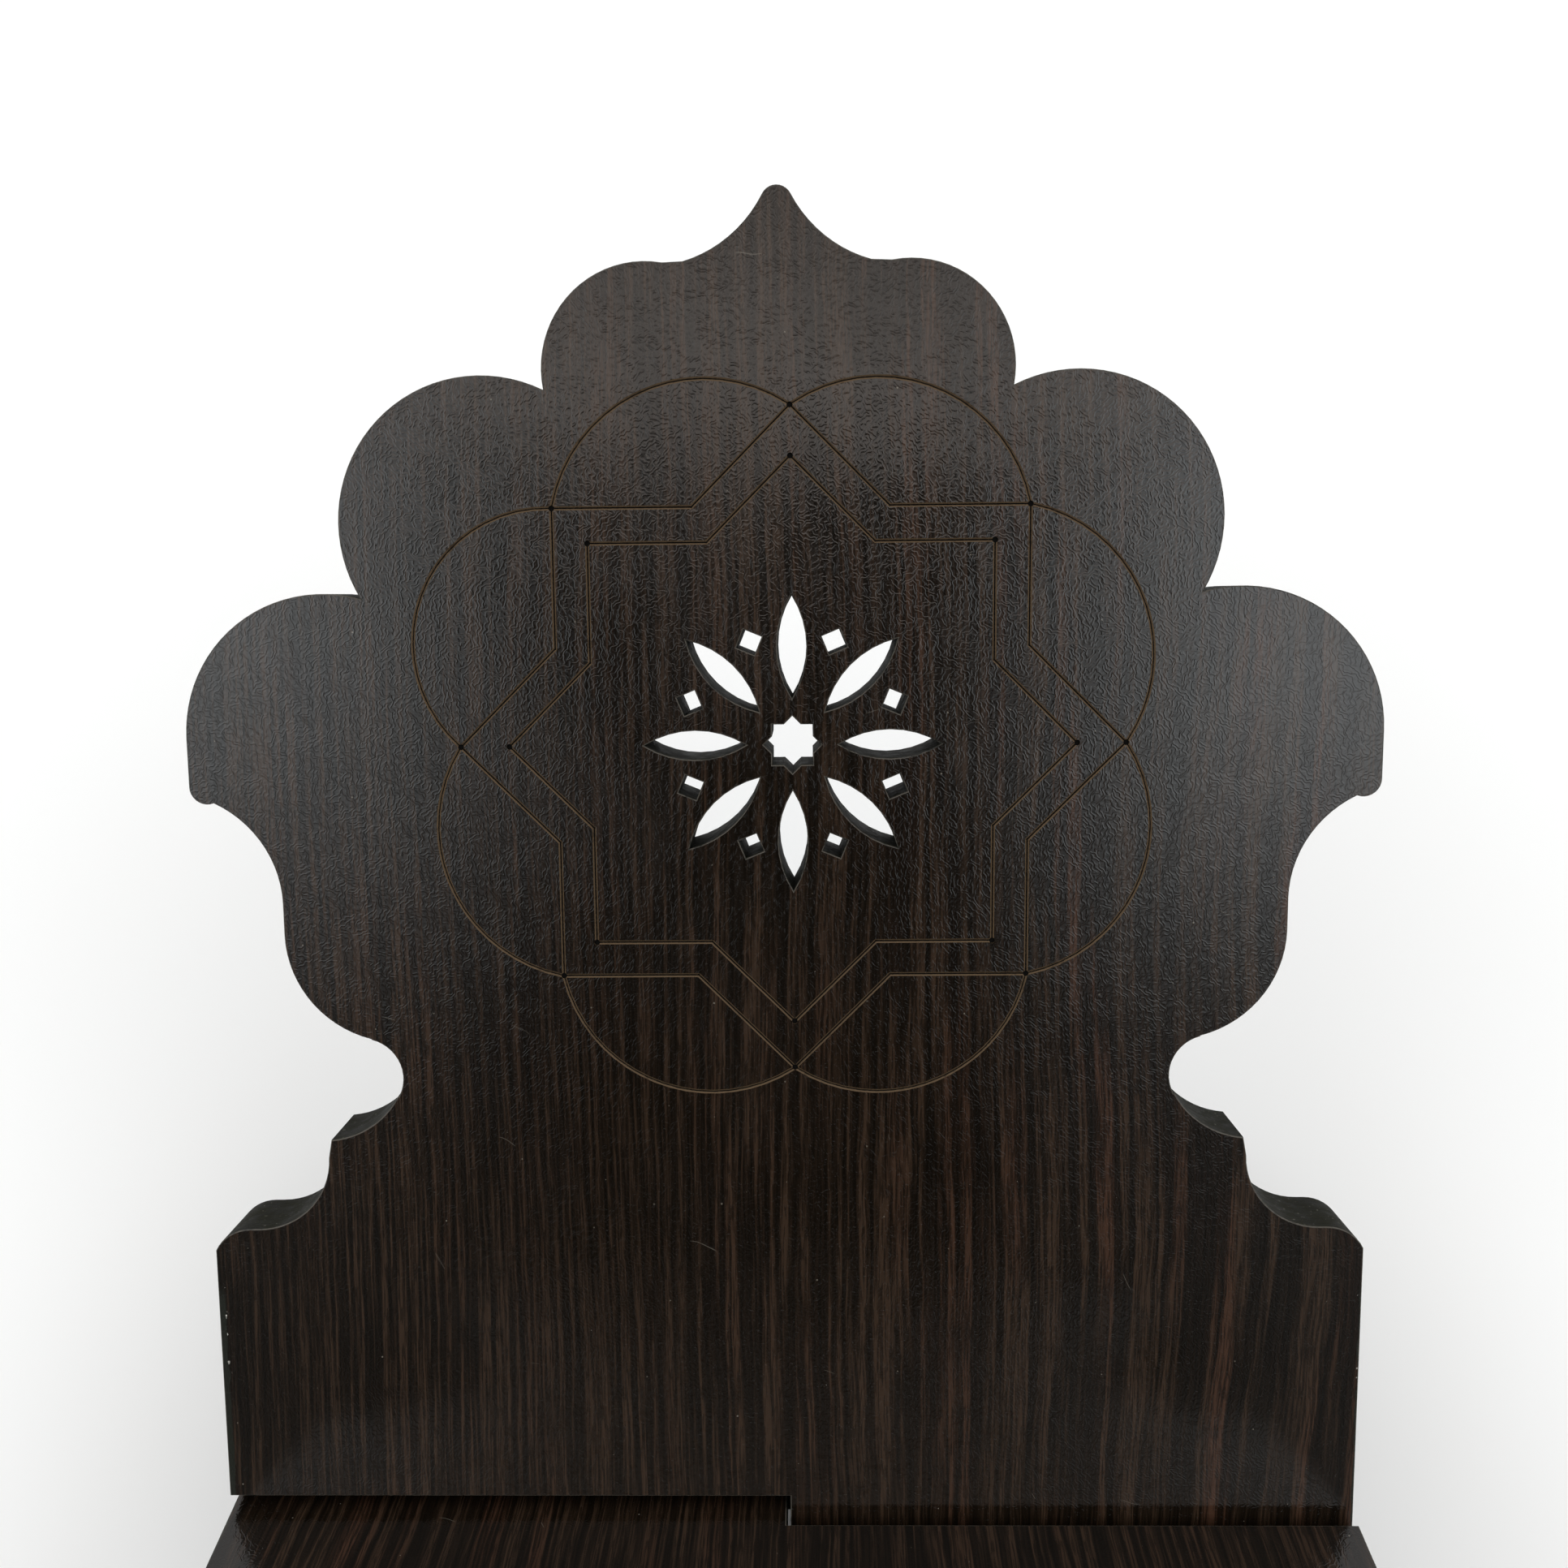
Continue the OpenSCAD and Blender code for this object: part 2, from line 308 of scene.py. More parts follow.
class WengeGrain(NodeGroup):
    """The printed wenge grain: dark and brown stripes, fine on the left, broad on the right."""

    name = "wenge_grain"
    inputs = (
        GroupSocket("At", "Vector"),
        GroupSocket("Seed", "Float", 0.0),
        GroupSocket("Left Stripe", "Float", 1.15),
        GroupSocket("Right Stripe", "Float", 4.0),
        GroupSocket("Half Width", "Float", 135.0),
        GroupSocket("Flow", "Float", 5.0),
        GroupSocket("Dark", "Color", rgb(0.0052, 0.0036, 0.0023)),
        GroupSocket("Light", "Color", rgb(0.038, 0.0225, 0.0140)),
        GroupSocket("Tone", "Float", 1.0),
        GroupSocket("Warm", "Color", rgb(0.058, 0.0275, 0.0165)),
    )
    outputs = (GroupSocket("Color", "Color"), GroupSocket("Fibre", "Float"))

    def fill(self, nodes: NodeBuilder, given: dict[str, Socket]) -> dict[str, Socket]:
        """Builds the grain from stretched noise.

        Args:
            nodes: adds nodes to the group's tree.
            given: the group's inputs by name.

        Returns:
            The grain's colour, and its fibres as a mask.
        """
        x, y, _ = nodes.split(given["At"])
        seed = given["Seed"]

        def layer(across: Socket, wide: SocketOrValue, long: SocketOrValue, shift: float,
                  detail: float = 0.0, roughness: float = 0.5) -> Socket:
            """Returns noise stretched along the grain.

            Args:
                across: the place across the grain.
                wide: the size of its features across the grain.
                long: their size along it.
                shift: keeps one layer from repeating another.
                detail: how many finer layers it has.
                roughness: how strong the finer layers are.
            """
            place = nodes.join(nodes.math("ADD", nodes.math("DIVIDE", across, wide), shift),
                               nodes.math("ADD", nodes.math("DIVIDE", y, long), seed))
            return nodes.noise(place, 1.0, detail, roughness, "2D")

        # From 0 at the board's left side to 1 at its right.
        side = nodes.math("DIVIDE", x, given["Half Width"])
        side = nodes.math("MULTIPLY_ADD", side, 0.5, 0.5, clamp=True)
        # Slow bends that whole groups of stripes follow, stronger on the right.
        bend = nodes.math("SUBTRACT", layer(x, 70.0, 130.0, 0.0), 0.5)
        bend = nodes.math("MULTIPLY", bend, given["Flow"])
        bend = nodes.math("MULTIPLY", bend, nodes.math("MULTIPLY_ADD", side, 1.7, 0.4))
        waver = nodes.math("SUBTRACT", layer(x, 9.0, 20.0, 5.0, 1.0), 0.5)
        waver = nodes.math("MULTIPLY", waver, nodes.math("MULTIPLY_ADD", side, 0.9, 0.45))
        shifted = nodes.math("ADD", nodes.math("ADD", x, bend), waver)
        # Stripes per millimetre fall off towards the right, so the count is their integral.
        fine = nodes.math("DIVIDE", 1.0, given["Left Stripe"])
        broad = nodes.math("DIVIDE", 1.0, given["Right Stripe"])
        middle = nodes.math("MULTIPLY", nodes.math("ADD", fine, broad), 0.5)
        fall = nodes.math("DIVIDE", nodes.math("SUBTRACT", broad, fine),
                          nodes.math("MULTIPLY", given["Half Width"], 4.0))
        count = nodes.math("MULTIPLY_ADD", fall, shifted, middle)
        count = nodes.math("MULTIPLY", count, shifted)
        # Long stripes that swell, taper and end.
        length = nodes.math("MULTIPLY_ADD", side, 60.0, 75.0)
        stripe = layer(count, 1.0, length, 11.0, 2.0, 0.45)
        stripe = nodes.ramp(stripe, nodes.math("MULTIPLY_ADD", side, 0.02, 0.37), 0.66)
        # Broad zones where the brown shows more or less.
        zone = nodes.ramp(layer(shifted, 34.0, 260.0, 17.0, 1.0), 0.30, 0.66, 0.60, 1.0)
        # Fine fibres and pores run through both.
        fibre = nodes.ramp(layer(shifted, 0.62, 22.0, 23.0, 1.0, 0.6), 0.32, 0.68)
        pore = nodes.ramp(layer(x, 0.40, 5.0, 29.0), 0.56, 0.68)
        amount = nodes.math("MULTIPLY", nodes.math("MULTIPLY", stripe, zone),
                            nodes.math("MULTIPLY_ADD", fibre, 0.80, 0.36))
        amount = nodes.math("MULTIPLY_ADD", fibre, 0.13, amount)
        amount = nodes.math("MULTIPLY", amount, nodes.math("MULTIPLY_ADD", pore, -0.6, 1.0),
                            clamp=True)
        warm = nodes.ramp(layer(shifted, 11.0, 110.0, 37.0), 0.50, 0.70)
        warm = nodes.math("MULTIPLY", warm, nodes.ramp(side, 0.40, 0.80, 0.15, 0.8))
        light = nodes.blend(warm, given["Light"], given["Warm"])
        colour = nodes.blend(amount, given["Dark"], light)
        colour = nodes.vector_math("SCALE", colour, given["Tone"])
        return {"Color": colour, "Fibre": fibre}


class PressedTexture(NodeGroup):
    """The short wavy ridges that the press plate leaves all over the laminate."""

    name = "pressed_texture"
    inputs = (GroupSocket("At", "Vector"), GroupSocket("Pitch", "Float", 0.9))
    outputs = (GroupSocket("Height", "Float"),)
    patches_per_mm: float = 0.38
    stir_scale: float = 0.8
    stir_reach: float = 1.6
    stir_turns: float = 1.5
    angle_range: float = 2.3
    crest_power: float = 2.2

    def fill(self, nodes: NodeBuilder, given: dict[str, Socket]) -> dict[str, Socket]:
        """Builds waves of one length in small patches, each turned its own way.

        Args:
            nodes: adds nodes to the group's tree.
            given: the group's inputs by name.

        Returns:
            The height of the ridges, from 0 to 1.
        """
        x, y, _ = nodes.split(given["At"])
        stir = nodes.math("SUBTRACT", nodes.noise(
            given["At"], self.stir_scale, 0.0, dimensions="2D"), 0.5)
        aside = nodes.math("MULTIPLY", stir, self.stir_reach)
        patch = nodes.add("TexVoronoi", {
            "Vector": nodes.join(nodes.math("ADD", x, aside), nodes.math("SUBTRACT", y, aside)),
            "Scale": self.patches_per_mm}, voronoi_dimensions="2D").outputs["Color"]
        turn, slip, _ = nodes.split(patch)
        # Most ridges run up the board, within about 65 degrees.
        angle = nodes.math("MULTIPLY", nodes.math("SUBTRACT", turn, 0.5), self.angle_range)
        along = nodes.math("ADD", nodes.math("MULTIPLY", x, nodes.math("COSINE", angle)),
                           nodes.math("MULTIPLY", y, nodes.math("SINE", angle)))
        turns = nodes.math("ADD", nodes.math("DIVIDE", along, given["Pitch"]), slip)
        turns = nodes.math("MULTIPLY_ADD", stir, self.stir_turns, turns)
        wave = nodes.math("SINE", nodes.math("MULTIPLY", turns, 2.0 * math.pi))
        # Narrow crests between flatter floors.
        crest = nodes.math("POWER", nodes.math("MULTIPLY_ADD", wave, 0.5, 0.5), self.crest_power)
        return {"Height": crest}


class Specks(NodeGroup):
    """Scattered small round marks: dust, chips and pits."""

    name = "specks"
    inputs = (GroupSocket("At", "Vector"), GroupSocket("Spacing", "Float", 20.0),
              GroupSocket("Radius", "Float", 0.25), GroupSocket("Share", "Float", 0.5))
    outputs = (GroupSocket("Mask", "Float"),)

    def fill(self, nodes: NodeBuilder, given: dict[str, Socket]) -> dict[str, Socket]:
        """Builds one dot in some of the cells of a random grid.

        Args:
            nodes: adds nodes to the group's tree.
            given: the group's inputs by name.

        Returns:
            A mask that is 1 on the marks.
        """
        scale = nodes.math("DIVIDE", 1.0, given["Spacing"])
        cells = nodes.add("TexVoronoi", {"Vector": given["At"], "Scale": scale},
                          voronoi_dimensions="2D")
        distance = nodes.math("MULTIPLY", cells.outputs["Distance"], given["Spacing"])
        pick, size, faint = nodes.split(cells.outputs["Color"])
        radius = nodes.math("MULTIPLY", given["Radius"],
                            nodes.math("MULTIPLY_ADD", size, 0.9, 0.4))
        dot = nodes.ramp(distance, nodes.math("MULTIPLY", radius, 0.5), radius, 1.0, 0.0)
        chosen = nodes.math("LESS_THAN", pick, given["Share"])
        mask = nodes.math("MULTIPLY", nodes.math("MULTIPLY", dot, chosen),
                          nodes.math("MULTIPLY_ADD", faint, 0.7, 0.3))
        return {"Mask": mask}


class FineScratches(NodeGroup):
    """Sparse, short, slightly curved hairline scratches."""

    name = "fine_scratches"
    inputs = (GroupSocket("At", "Vector"), GroupSocket("Direction", "Float", 0.0),
              GroupSocket("Spacing", "Float", 38.0), GroupSocket("Length", "Float", 5.0),
              GroupSocket("Share", "Float", 0.35))
    outputs = (GroupSocket("Mask", "Float"),)

    def fill(self, nodes: NodeBuilder, given: dict[str, Socket]) -> dict[str, Socket]:
        """Builds one thin stroke in some of the cells of a random grid.

        Args:
            nodes: adds nodes to the group's tree.
            given: the group's inputs by name.

        Returns:
            A mask that is 1 along the scratches.
        """
        turned = nodes.add("VectorRotate", {"Vector": given["At"], "Angle": given["Direction"]},
                           rotation_type="Z_AXIS").outputs[0]
        sway = nodes.math("SUBTRACT", nodes.noise(turned, 0.12, 0.0, dimensions="2D"), 0.5)
        sway = nodes.join(0.0, nodes.math("MULTIPLY", sway, 6.0))
        turned = nodes.vector_math("ADD", turned, sway)
        scale = nodes.math("DIVIDE", 1.0, given["Spacing"])
        cells = nodes.add("TexVoronoi", {"Vector": turned, "Scale": scale}, voronoi_dimensions="2D")
        along, across, _ = nodes.split(
            nodes.vector_math("SUBTRACT", turned, cells.outputs["Position"]))
        pick, size, faint = nodes.split(cells.outputs["Color"])
        half = nodes.math("MULTIPLY", given["Length"], nodes.math("MULTIPLY_ADD", size, 0.6, 0.2))
        along = nodes.ramp(nodes.math("ABSOLUTE", along), nodes.math("MULTIPLY", half, 0.6),
                           half, 1.0, 0.0)
        across = nodes.ramp(nodes.math("ABSOLUTE", across), 0.04, 0.14, 1.0, 0.0)
        chosen = nodes.math("LESS_THAN", pick, given["Share"])
        mask = nodes.math("MULTIPLY", nodes.math("MULTIPLY", along, across), chosen)
        mask = nodes.math("MULTIPLY", mask, nodes.math("MULTIPLY_ADD", faint, 0.6, 0.2))
        return {"Mask": mask}


class BrushedPaint(NodeGroup):
    """The charcoal green edge paint, laid on by brush: mottled, with a few pale flecks."""

    name = "brushed_paint"
    inputs = (GroupSocket("At", "Vector"),
              GroupSocket("Thin", "Color", rgb(0.0098, 0.0097, 0.0050)),
              GroupSocket("Thick", "Color", rgb(0.0040, 0.0041, 0.0024)))
    outputs = (GroupSocket("Color", "Color"), GroupSocket("Height", "Float"),
               GroupSocket("Roughness", "Float"), GroupSocket("Flecks", "Float"))

    def fill(self, nodes: NodeBuilder, given: dict[str, Socket]) -> dict[str, Socket]:
        """Builds the mottling, the brush marks and the grain of the board under the paint.

        Args:
            nodes: adds nodes to the group's tree.
            given: the group's inputs by name.

        Returns:
            The paint's colour, its height from 0 to 1, its roughness and a mask of the flecks.
        """
        mottle = nodes.noise(given["At"], 0.35, 3.0, 0.6)
        wool = nodes.noise(given["At"], 2.6, 2.0, 0.6)
        strokes_at = nodes.vector_math("MULTIPLY", given["At"], (0.10, 0.10, 1.6))
        strokes = nodes.noise(strokes_at, 1.0, 2.0)
        amount = nodes.ramp(nodes.math("MULTIPLY_ADD", strokes, 0.45, nodes.math(
            "MULTIPLY", mottle, 0.65)), 0.40, 0.68)
        colour = nodes.blend(amount, given["Thick"], given["Thin"])
        height = nodes.math("MULTIPLY_ADD", wool, 0.6, nodes.math("MULTIPLY", strokes, 0.4))
        roughness = nodes.ramp(mottle, 0.3, 0.7, 0.6, 0.8)
        flecks = nodes.ramp(nodes.noise(given["At"], 1.15, 1.0), 0.70, 0.76)
        return {"Color": colour, "Height": height, "Roughness": roughness, "Flecks": flecks}


class PaintOverrun(NodeGroup):
    """Where the brush ran over onto the face along the straight lower sides, and its chips."""

    name = "paint_overrun"
    inputs = (GroupSocket("At", "Vector"), GroupSocket("Half Width", "Float", 135.0),
              GroupSocket("Left Band", "Float", 1.6), GroupSocket("Right Band", "Float", 0.5),
              GroupSocket("Top", "Float", 66.0))
    outputs = (GroupSocket("Paint", "Float"), GroupSocket("Chips", "Float"))

    def fill(self, nodes: NodeBuilder, given: dict[str, Socket]) -> dict[str, Socket]:
        """Builds a band with an uneven inner border on each side.

        Args:
            nodes: adds nodes to the group's tree.
            given: the group's inputs by name.

        Returns:
            A mask of the paint and a mask of the chips along its border.
        """
        x, y, _ = nodes.split(given["At"])
        inward = nodes.math("SUBTRACT", given["Half Width"], nodes.math("ABSOLUTE", x))
        on_right = nodes.math("GREATER_THAN", x, 0.0)
        band = nodes.ramp(on_right, 0.0, 1.0, given["Left Band"], given["Right Band"])
        uneven = nodes.noise(given["At"], 0.22, 2.0, 0.6, "2D")
        uneven = nodes.math("SUBTRACT", uneven, 0.5)
        border = nodes.math("MULTIPLY_ADD", uneven, 1.1, band)
        past = nodes.math("SUBTRACT", border, inward)
        below = nodes.ramp(y, nodes.math("SUBTRACT", given["Top"], 6.0), given["Top"], 1.0, 0.0)
        paint = nodes.math("MULTIPLY", nodes.ramp(past, -0.1, 0.15), below)
        near = nodes.math("ABSOLUTE", nodes.math("ADD", past, 0.1))
        near = nodes.ramp(near, 0.15, 0.45, 1.0, 0.0)
        flakes = nodes.ramp(nodes.noise(given["At"], 0.85, 1.0, dimensions="2D"), 0.72, 0.76)
        high = nodes.ramp(y, 30.0, 60.0)
        chips = nodes.math("MULTIPLY", nodes.math("MULTIPLY", near, flakes),
                           nodes.math("MULTIPLY", high, below))
        return {"Paint": paint, "Chips": chips}


class EdgeWear(NodeGroup):
    """Where the finish is rubbed through along an arris."""

    name = "edge_wear"
    inputs = (GroupSocket("At", "Vector"), GroupSocket("Amount", "Float", 0.6))
    outputs = (GroupSocket("Mask", "Float"),)

    def fill(self, nodes: NodeBuilder, given: dict[str, Socket]) -> dict[str, Socket]:
        """Builds worn stretches of uneven length.

        Args:
            nodes: adds nodes to the group's tree.
            given: the group's inputs by name.

        Returns:
            A mask that is 1 where the finish is gone.
        """
        stretches = nodes.noise(given["At"], 0.09, 2.0, 0.6)
        nicks = nodes.noise(given["At"], 0.9, 2.0, 0.6)
        both = nodes.math("MULTIPLY_ADD", nicks, 0.45, nodes.math("MULTIPLY", stretches, 0.55))
        edge = nodes.math("SUBTRACT", 0.80, nodes.math("MULTIPLY", given["Amount"], 0.5))
        return {"Mask": nodes.ramp(both, nodes.math("SUBTRACT", edge, 0.08),
                                   nodes.math("ADD", edge, 0.08))}


class Effects:
    """All the shared node groups, built once."""

    def __init__(self) -> None:
        """Builds every group."""
        self.grain = WengeGrain()
        self.pressed = PressedTexture()
        self.specks = Specks()
        self.scratches = FineScratches()
        self.paint = BrushedPaint()
        self.overrun = PaintOverrun()
        self.wear = EdgeWear()


# --------------------------------------------------------------------------------------------
# Finishes


@dataclass(frozen=True)
class Finish:
    """What every finish of the stand has in common."""

    name: str

    def make(self, effects: Effects) -> bpy.types.Material:
        """Builds the material.

        Args:
            effects: the shared node groups.

        Returns:
            The finished material.
        """
        material = bpy.data.materials.new(self.name)
        material.use_nodes = True
        material.node_tree.nodes.clear()
        nodes = NodeBuilder(material.node_tree)
        at = nodes.add("Attribute", attribute_name=BOARD_COORDINATES).outputs["Vector"]
        shader = nodes.add("BsdfPrincipled")
        output = nodes.add("OutputMaterial")
        material.node_tree.links.new(shader.outputs[0], output.inputs["Surface"])
        self.dress(nodes, at, shader, effects)
        return material

    def dress(self, nodes: NodeBuilder, at: Socket, shader: bpy.types.Node,
              effects: Effects) -> None:
        """Feeds the shader's sockets.

        Args:
            nodes: adds nodes to the material's tree.
            at: the board coordinates in millimetres.
            shader: the Principled shader.
            effects: the shared node groups.
        """
        raise NotImplementedError

    @staticmethod
    def feed(nodes: NodeBuilder, shader: bpy.types.Node, colour: Socket, roughness: Socket,
             height: Socket, depth: float) -> None:
        """Links a colour, a roughness and a relief to the shader.

        Args:
            nodes: adds nodes to the material's tree.
            shader: the Principled shader.
            colour: the base colour.
            roughness: the roughness.
            height: the relief, from 0 to 1.
            depth: how deep the relief is, in metres.
        """
        bump = nodes.add("Bump", {"Height": height, "Strength": 1.0, "Distance": depth})
        for name, socket in (("Base Color", colour), ("Roughness", roughness),
                             ("Normal", bump.outputs["Normal"])):
            nodes.tree.links.new(socket, shader.inputs[name])


@dataclass(frozen=True)
class WengeLaminate(Finish):
    """Printed wenge decor under a satin overlay, pressed with fine wavy ridges."""

    seed: float = 0.0
    half_width: float = 135.0
    left_stripe: float = 1.15
    right_stripe: float = 4.0
    flow: float = 5.0
    tone: float = 1.0
    gloss: float = 0.5
    left_band: float = 1.6
    right_band: float = 0.5
    ridge_pitch: float = 0.9
    relief: float = 0.000013
    dust: Colour = rgb(0.30, 0.27, 0.22)
    dust_strength: float = 0.55
    scratch_strength: float = 0.30
    smoothest: float = 0.10
    roughest: float = 0.15
    chip: Colour = rgb(0.62, 0.60, 0.54)
    paint: Colour = rgb(0.012, 0.013, 0.009)

    def dress(self, nodes: NodeBuilder, at: Socket, shader: bpy.types.Node,
              effects: Effects) -> None:
        """Lays grain, overrun paint, dust and scratches over each other.

        Args:
            nodes: adds nodes to the material's tree.
            at: the board coordinates in millimetres.
            shader: the Principled shader.
            effects: the shared node groups.
        """
        grain = effects.grain.place(nodes, At=at, Seed=self.seed, Left_Stripe=self.left_stripe,
                                    Right_Stripe=self.right_stripe, Half_Width=self.half_width,
                                    Flow=self.flow, Tone=self.tone)
        overrun = effects.overrun.place(nodes, At=at, Half_Width=self.half_width,
                                        Left_Band=self.left_band, Right_Band=self.right_band)
        dust = effects.specks.place(nodes, At=at, Spacing=17.0, Radius=0.22, Share=0.55)
        level = effects.scratches.place(nodes, At=at, Direction=0.1)
        upright = effects.scratches.place(nodes, At=at, Direction=1.25, Spacing=52.0, Length=3.5)
        scratch = nodes.math("MAXIMUM", level["Mask"], upright["Mask"])
        colour = nodes.blend(overrun["Paint"], grain["Color"], self.paint)
        colour = nodes.blend(nodes.math("MULTIPLY", scratch, self.scratch_strength),
                             colour, self.dust)
        colour = nodes.blend(nodes.math("MULTIPLY", dust["Mask"], self.dust_strength),
                             colour, self.dust)
        colour = nodes.blend(overrun["Chips"], colour, self.chip)
        smears = nodes.noise(at, 0.02, 2.0, 0.6, "2D")
        roughness = nodes.ramp(smears, 0.3, 0.7, self.smoothest, self.roughest)
        roughness = nodes.math("MULTIPLY_ADD", grain["Fibre"], 0.03, roughness)
        roughness = nodes.math("MULTIPLY_ADD", overrun["Paint"], 0.12, roughness)
        pressed = effects.pressed.place(nodes, At=at, Pitch=self.ridge_pitch)
        self.feed(nodes, shader, colour, roughness, pressed["Height"], self.relief)
        shader.inputs["Specular IOR Level"].default_value = self.gloss


@dataclass(frozen=True)
class EdgePaint(Finish):
    """The painted walls of the boards."""

    fleck: Colour = rgb(0.16, 0.155, 0.125)
    fleck_strength: float = 0.5
    gloss: float = 0.06
    relief: float = 0.00009

    def dress(self, nodes: NodeBuilder, at: Socket, shader: bpy.types.Node,
              effects: Effects) -> None:
        """Lays flecks over the brushed paint.

        Args:
            nodes: adds nodes to the material's tree.
            at: the board coordinates in millimetres.
            shader: the Principled shader.
            effects: the shared node groups.
        """
        paint = effects.paint.place(nodes, At=at)
        colour = nodes.blend(nodes.math("MULTIPLY", paint["Flecks"], self.fleck_strength),
                             paint["Color"], self.fleck)
        self.feed(nodes, shader, colour, paint["Roughness"], paint["Height"], self.relief)
        shader.inputs["Specular IOR Level"].default_value = self.gloss


@dataclass(frozen=True)
class ArrisLine(Finish):
    """The eased edge of the laminate, where its brown paper shows as a thin line."""

    paper: Colour = rgb(0.060, 0.052, 0.040)
    wear: float = 0.72
    relief: float = 0.00003

    def dress(self, nodes: NodeBuilder, at: Socket, shader: bpy.types.Node,
              effects: Effects) -> None:
        """Shows the paper where the paint is rubbed off.

        Args:
            nodes: adds nodes to the material's tree.
            at: the board coordinates in millimetres.
            shader: the Principled shader.
            effects: the shared node groups.
        """
        paint = effects.paint.place(nodes, At=at)
        worn = effects.wear.place(nodes, At=at, Amount=self.wear)
        colour = nodes.blend(worn["Mask"], paint["Color"], self.paper)
        self.feed(nodes, shader, colour, paint["Roughness"], paint["Height"], self.relief)


@dataclass(frozen=True)
class EngravedGroove(Finish):
    """A groove cut through the print: brown at its rims, painted shade nearly black at its bottom.
    """

    surface_z: float = 9.0
    depth: float = 0.4
    flank: Colour = rgb(0.105, 0.070, 0.040)
    # Painted shade: the nearly black colour at the groove's bottom.
    bottom: Colour = rgb(0.0022, 0.0018, 0.0014)
    wear: float = 0.8
    gloss: float = 0.1
    relief: float = 0.00003

    def dress(self, nodes: NodeBuilder, at: Socket, shader: bpy.types.Node,
              effects: Effects) -> None:
        """Darkens the groove from its rims to its bottom, as painted shade.

        Args:
            nodes: adds nodes to the material's tree.
            at: the board coordinates in millimetres.
            shader: the Principled shader.
            effects: the shared node groups.
        """
        _, _, z = nodes.split(at)
        down = nodes.math("DIVIDE", nodes.math("SUBTRACT", self.surface_z, z), self.depth)
        rough = nodes.noise(at, 1.7, 2.0, 0.6)
        down = nodes.math("MULTIPLY_ADD", nodes.math("SUBTRACT", rough, 0.5), 0.35, down)
        # Painted shade: the colour darkens with depth below the face.
        depth_shade = nodes.ramp(down, 0.52, 0.78)
        worn = effects.wear.place(nodes, At=at, Amount=self.wear)
        # Unworn flanks are mixed halfway towards the painted-shade colour; the wear mask brings
        # back the full brown.
        flank = nodes.blend(nodes.math("MULTIPLY_ADD", worn["Mask"], 0.5, 0.5),
                            self.bottom, self.flank)
        colour = nodes.blend(depth_shade, flank, self.bottom)
        roughness = nodes.ramp(down, 0.0, 1.0, 0.5, 0.85)
        self.feed(nodes, shader, colour, roughness, rough, self.relief)
        shader.inputs["Specular IOR Level"].default_value = self.gloss


# --------------------------------------------------------------------------------------------
# Meshes


@dataclass(frozen=True)
class BoardAxes:
    """Where a board stands: the middle of its slot, and its own directions."""

    origin: Vector
    across: Vector
    up: Vector
    out: Vector

    @classmethod
    def of(cls, board: BoardName) -> "BoardAxes":
        """Finds a board's axes from its face laminate and the joint.

        Args:
            board: which board.

        Returns:
            The axes of that board at rest.
        """
        mesh = frame["nodes"][f"{board.value}_{Layer.FACE.value}"].data
        across = Vector((1 if board is BoardName.BACK else -1, 0, 0))
        upward = [p for p in mesh.polygons if p.normal.z > 0]
        out = max(upward, key=lambda p: p.area).normal.copy()
        out = (out - across * out.dot(across)).normalized()
        origin = Vector(frame["joints"][0]["pos_m"])
        return cls(origin, across, out.cross(across), out)

    def in_board(self, points: np.ndarray) -> np.ndarray:
        """Returns points of the frame, in metres, as board coordinates in millimetres."""
        rows = np.array([self.across, self.up, self.out])
        return (points - np.array(self.origin)) @ rows.T / MM


